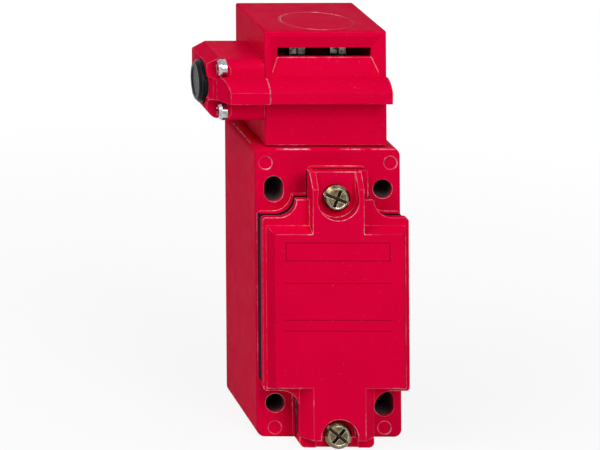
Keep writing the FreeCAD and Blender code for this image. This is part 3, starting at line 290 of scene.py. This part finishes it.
def red_paint(name, printed=False, bored=False, slotted=False, highlight_share=1.0):
    """Crimson paint on a casting, with a cloudy tint and specks, a painted highlight along the edges, and
    painted glints that break it up.

    A noise's scale is in waves per metre, so the clouds are centimetres wide and the specks under 1 mm.
    The photographed paint hardly reflects, which is why its specular level is so low.
    """
    shader = Shader(name, Metallic=0.0, IOR=1.5, Specular_IOR_Level=0.003)
    rounded, edge = shader.soft_edges(0.34 * mm)
    cloud = shader.remap(shader.noise(70.0, 3.0), 0.35, 0.68)
    colour = shader.mix(shader.math("MULTIPLY", cloud, 0.35), RED, RED_DEEP)
    speck = shader.remap(shader.noise(1500.0, 1.0), 0.71, 0.80)
    colour = shader.mix(shader.math("MULTIPLY", speck, 0.16), colour, RED_SPECK_AND_SHEEN)
    # Painted highlight along the edges, weaker in the calm boxes.
    edge = shader.all_of(edge, shader.math("SUBTRACT", 1.0, calm_places(shader)))
    colour = shader.mix(shader.math("MULTIPLY", edge, 0.45 * highlight_share), colour, RED_SPECK_AND_SHEEN)
    # Painted glints also along the crowns of the body's rounded top edges.
    if bored:
        edge = shader.any_of(edge, crown_highlights(shader))
    # Painted glints in broken stretches along the edges.
    stretches = shader.remap(shader.noise(130.0, 2.0), 0.44, 0.54)
    glint_breaks = shader.remap(shader.noise(700.0, 2.0), 0.42, 0.56, 0.15, 1.0)
    broken_glints = shader.all_of(edge, stretches, glint_breaks)
    # Painted glints along the two edges beside the funnel's ramp.
    if slotted:
        broken_glints = shader.any_of(broken_glints, shader.all_of(edge, ramp_edges(shader)))
    colour = shader.mix(shader.math("MULTIPLY", broken_glints, 0.9 * highlight_share), colour, EDGE_GLINT)
    if printed:
        colour = shader.mix(blank_label(shader), colour, PRINT)
    if bored:
        # The fixing bores' walls: bare metal with painted shade.
        colour = shader.mix(in_bores(shader), colour, BARE_BORE_AND_SHADE)
        # Painted shade on the land's sides in the gap behind the gasket.
        colour = shader.mix(in_seam(shader), colour, SEAM_SHADE)
    shader.into("Base Color", colour)
    shader.into("Roughness", shader.remap(shader.noise(240.0, 2.0), 0.3, 0.7, 0.34, 0.46))
    peel = shader.bump(shader.noise(850.0, 1.5), 0.10, 0.12 * mm, rounded)
    shader.into("Normal", shader.bump(shader.noise(160.0, 1.0), 0.12, 0.3 * mm, peel))
    return shader


def dark_rubber(name):
    """Nearly black rubber with a purple tint and fine teeth across the gasket's edge."""
    shader = Shader(name, Metallic=0.0, IOR=1.5, Specular_IOR_Level=0.02)
    teeth = shader.noise(900.0, 1.0, 0.5, shader.stretch(0.25, 0.25, 1.0))
    shade = shader.remap(teeth, 0.38, 0.62)
    shader.into("Base Color", shader.mix(shade, (0.016, 0.004, 0.016), (0.050, 0.010, 0.036)))
    shader.into("Roughness", shader.remap(shader.noise(900.0, 2.0), 0.3, 0.7, 0.50, 0.72))
    shader.into("Normal", shader.bump(shader.noise(2600.0, 2.0), 0.25, 0.06 * mm))
    return shader


def plated_steel(name, light, dark, roughness, grain=(1.0, 1.0, 1.0), patch=300.0, rim=None, soft=0.12 * mm):
    """Plated or drawn steel: two tints in patches, a painted highlight on the rims, fine scratches along the
    stretched axis.
    """
    shader = Shader(name, Metallic=1.0)
    rounded, edge = shader.soft_edges(soft)
    tint = shader.remap(shader.noise(patch, 3.0, 0.6), 0.36, 0.64)
    colour = shader.mix(tint, light, dark)
    # The rim colour is a painted highlight along the edges.
    bright = rim or tuple(min(1.0, 0.35 + 0.75 * part) for part in light)
    share = 0.85 if rim else 0.7
    shader.into("Base Color", shader.mix(shader.math("MULTIPLY", edge, share), colour, bright))
    scratches = shader.noise(1800.0, 3.0, 0.6, shader.stretch(*grain))
    shader.into("Roughness", shader.remap(scratches, 0.3, 0.7, roughness * 0.75, roughness * 1.35))
    shader.into("Normal", shader.bump(scratches, 0.12, 0.03 * mm, rounded))
    return shader


def cover_screw_metal(name):
    """Aged zinc with a painted highlight on the rims, and painted shade in the slots below the two heads'
    faces.
    """
    shader = plated_steel(
        name, (0.24, 0.19, 0.09), (0.08, 0.07, 0.035), 0.24, patch=700.0,
        rim=(1.0, 0.86, 0.80), soft=0.22 * mm)
    x, y, z = shader.parts_of_place()
    off_z = shader.math("MINIMUM", shader.apart(z, screw_top_z), shader.apart(z, screw_foot_z))
    within = shader.remap(length_of(shader, x, off_z), screw_slot_reach + 0.1 * mm, screw_slot_reach)
    below = shader.remap(y, screw_face_y + 0.30 * mm, screw_face_y + 0.50 * mm)
    metal = shader.principled.inputs["Base Color"].links[0].from_socket
    # Painted shade in the slots below the heads' faces.
    shader.into("Base Color", shader.mix(shader.all_of(within, below), metal, SLOT_SHADE))
    return shader


def plastic(name, light, dark, roughness, gloss=0.5, rim=None):
    """Moulded plastic in two near tints, with a painted highlight on the rims."""
    shader = Shader(name, Metallic=0.0, IOR=1.48, Specular_IOR_Level=gloss)
    rounded, edge = shader.soft_edges(0.15 * mm)
    shade = shader.remap(shader.noise(400.0, 2.0), 0.35, 0.65)
    colour = shader.mix(shade, light, dark)
    # The rim colour is a painted highlight along the edges.
    bright = rim or tuple(min(1.0, part * 1.6 + 0.01) for part in light)
    shader.into("Base Color", shader.mix(shader.math("MULTIPLY", edge, 0.5), colour, bright))
    polish = shader.noise(700.0, 2.0)
    shader.into("Roughness", shader.remap(polish, 0.3, 0.7, roughness * 0.85, roughness * 1.15))
    shader.into("Normal", shader.bump(shader.noise(2400.0, 2.0), 0.15, 0.03 * mm, rounded))
    return shader


def dress_nodes():
    red_paint("red_paint_slotted", slotted=True).on("head_casting")
    # The button housing gets a fainter painted edge highlight and fewer painted glints.
    red_paint("red_paint_faint_highlights", highlight_share=0.3).on("button_housing")
    red_paint("red_paint_bored", bored=True).on("body_casting")
    red_paint("red_paint_printed", printed=True).on("front_cover")
    dark_rubber("dark_rubber").on("cover_gasket", "head_gasket", "button_housing_gasket")
    plated_steel("yellow_zinc", (0.62, 0.55, 0.27), (0.25, 0.25, 0.12), 0.26, patch=700.0).on(
        "earth_clamp", "earth_screw")
    cover_screw_metal("aged_zinc").on("cover_screws")
    plated_steel(
        "bright_plate", (0.60, 0.60, 0.62), (0.30, 0.30, 0.32), 0.16, patch=500.0,
        rim=(0.95, 0.95, 0.96)).on("button_housing_screws")
    plated_steel("zinc_turned", (0.52, 0.53, 0.55), (0.36, 0.37, 0.39), 0.30, (1.0, 1.0, 0.12)).on(
        "head_screws", "block_fixing_screws", "terminal_screws", "plunger")
    plated_steel(
        "steel_stamped", (0.42, 0.41, 0.34), (0.05, 0.05, 0.045), 0.34, (0.15, 1.0, 1.0), patch=900.0,
        rim=(0.90, 0.88, 0.76), soft=0.22 * mm).on(
        "cam_left", "cam_right", "drive_lobe", "lock_disc", "terminal_clamps")
    plated_steel("steel_ground", (0.60, 0.60, 0.61), (0.45, 0.45, 0.46), 0.20, (0.1, 1.0, 1.0)).on(
        "cam_shaft", "button_stem")
    plated_steel("spring_wire", (0.40, 0.40, 0.40), (0.24, 0.24, 0.25), 0.28).on(
        "return_spring", "button_spring", "stem_clip")
    plated_steel("bronze_turned", (0.62, 0.40, 0.18), (0.45, 0.27, 0.11), 0.28).on(
        "shaft_bushes", "plunger_guide")
    plated_steel("contact_strip", (0.72, 0.50, 0.26), (0.58, 0.38, 0.18), 0.24, (0.15, 1.0, 1.0)).on(
        "fixed_contact_strips", "contact_bridges")
    plastic("black_moulding", (0.020, 0.020, 0.022), (0.012, 0.012, 0.013), 0.42).on(
        "contact_block_base", "contact_block_lid")
    plastic("white_moulding", (0.62, 0.60, 0.54), (0.54, 0.52, 0.46), 0.38).on("contact_carrier")
    plastic(
        "satin_black", (0.011, 0.011, 0.014), (0.007, 0.007, 0.009), 0.30, gloss=0.06,
        rim=(0.16, 0.16, 0.19)).on("button_cap")


def press_springs():
    """Gives the return spring and the button spring each a mesh of its own."""
    for name, joint, axis, seated_low in (
        ("return_spring", "plunger_travel", 2, False),
        ("button_spring", "button_push", 0, True),
    ):
        direction = Vector((0.0, 0.0, 0.0))
        direction[axis] = 1.0
        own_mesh(nodes[name])


def add_camera():
    """A studio view camera that looks in from the upper left, nearly a metre away.

    The photograph keeps the front square while it shows the left side and the top, as a view camera does
    whose film stands parallel to the part's front. So the film's two directions and the line of sight aren't
    at right angles here. They are the three columns that stand between the camera and its parent.
    """
    data = bpy.data.cameras.new("camera")
    data.sensor_width = 36.0
    data.lens = 199.91
    data.clip_start = 0.05
    data.clip_end = 30.0
    camera = bpy.data.objects.new("camera", data)
    stand = bpy.data.objects.new("camera_stand", None)
    bpy.context.scene.collection.objects.link(stand)
    bpy.context.scene.collection.objects.link(camera)
    film_right = Vector((0.99911, 0.04025, -0.01243))
    film_up = Vector((0.01024, 0.01329, 0.99986))
    sight = Vector((-0.24896, -0.92232, 0.29555))
    place = Vector((-0.23925, -0.87439, 0.33434))
    film = Matrix.Identity(4)
    for column, direction in enumerate((film_right, film_up, sight, place)):
        for row in range(3):
            film[row][column] = direction[row]
    camera.parent = stand
    camera.matrix_parent_inverse = film
    bpy.context.scene.camera = camera


def seen_ray(tree):
    """1 for a ray that shows the background: from the camera, off a gloss or through a clear surface."""
    path = tree.nodes.new("ShaderNodeLightPath")
    seen = path.outputs["Is Camera Ray"]
    for kind in ("Is Glossy Ray", "Is Transmission Ray"):
        either = tree.nodes.new("ShaderNodeMath")
        either.operation = "MAXIMUM"
        tree.links.new(seen, either.inputs[0])
        tree.links.new(path.outputs[kind], either.inputs[1])
        seen = either.outputs["Value"]
    return seen


def add_floor():
    """A round pale floor that fades to the background's white away from the part."""
    bpy.ops.mesh.primitive_circle_add(
        vertices=96, radius=floor_radius, fill_type="NGON", location=(0.0, 0.0, -floor_drop))
    floor = bpy.context.object
    floor.name = "floor"
    paper = Shader("floor_paper", Roughness=0.9, Specular_IOR_Level=0.1)
    paper.into("Base Color", paper.mix(paper.noise(40.0), (0.90, 0.90, 0.90), (0.93, 0.93, 0.93)))
    away = paper.add("ShaderNodeVectorMath", {"operation": "LENGTH"}, _0=paper.place).outputs["Value"]
    whiteness = paper.remap(away, fade_start, fade_end, to_low=whiteness_at_part)
    glow = paper.add("ShaderNodeEmission", Color=WHITE, Strength=1.0)
    blend = paper.add(
        "ShaderNodeMixShader", _0=paper.all_of(seen_ray(paper.tree), whiteness),
        _1=paper.principled.outputs["BSDF"], _2=glow.outputs["Emission"])
    surface = paper.tree.nodes["Material Output"].inputs["Surface"]
    paper.tree.links.new(blend.outputs["Shader"], surface)
    floor.data.materials.append(paper.material)


def add_world():
    """A dim even light from all round, which the camera sees as white."""
    world = bpy.data.worlds.new("studio")
    bpy.context.scene.world = world
    world.use_nodes = True
    tree = world.node_tree
    ambient = tree.nodes["Background"]
    ambient.inputs["Color"].default_value = WHITE
    ambient.inputs["Strength"].default_value = ambient_strength
    white = tree.nodes.new("ShaderNodeBackground")
    white.inputs["Color"].default_value = WHITE
    white.inputs["Strength"].default_value = 1.0
    blend = tree.nodes.new("ShaderNodeMixShader")
    tree.links.new(seen_ray(tree), blend.inputs[0])
    tree.links.new(ambient.outputs["Background"], blend.inputs[1])
    tree.links.new(white.outputs["Background"], blend.inputs[2])
    tree.links.new(blend.outputs["Shader"], tree.nodes["World Output"].inputs["Surface"])


def add_light(name, place, aim, side, power):
    """A square lamp at a place, turned to its aim."""
    data = bpy.data.lights.new(name, "AREA")
    data.shape = "SQUARE"
    data.size = side
    data.energy = power
    light = bpy.data.objects.new(name, data)
    bpy.context.scene.collection.objects.link(light)
    light.location = place
    light.rotation_euler = (Vector(aim) - Vector(place)).to_track_quat("-Z", "Y").to_euler()


add_camera()
dress_nodes()
press_springs()
add_floor()
add_world()
add_light("key_box", place=(0.14, -0.42, 0.36), aim=(0.0, 0.0, 0.09), side=0.25, power=1.28)
add_light("fill_box", place=(-0.30, -0.20, 0.42), aim=(0.0, 0.0, 0.10), side=0.26, power=1.12)
bpy.context.scene.view_settings.view_transform = "Standard"
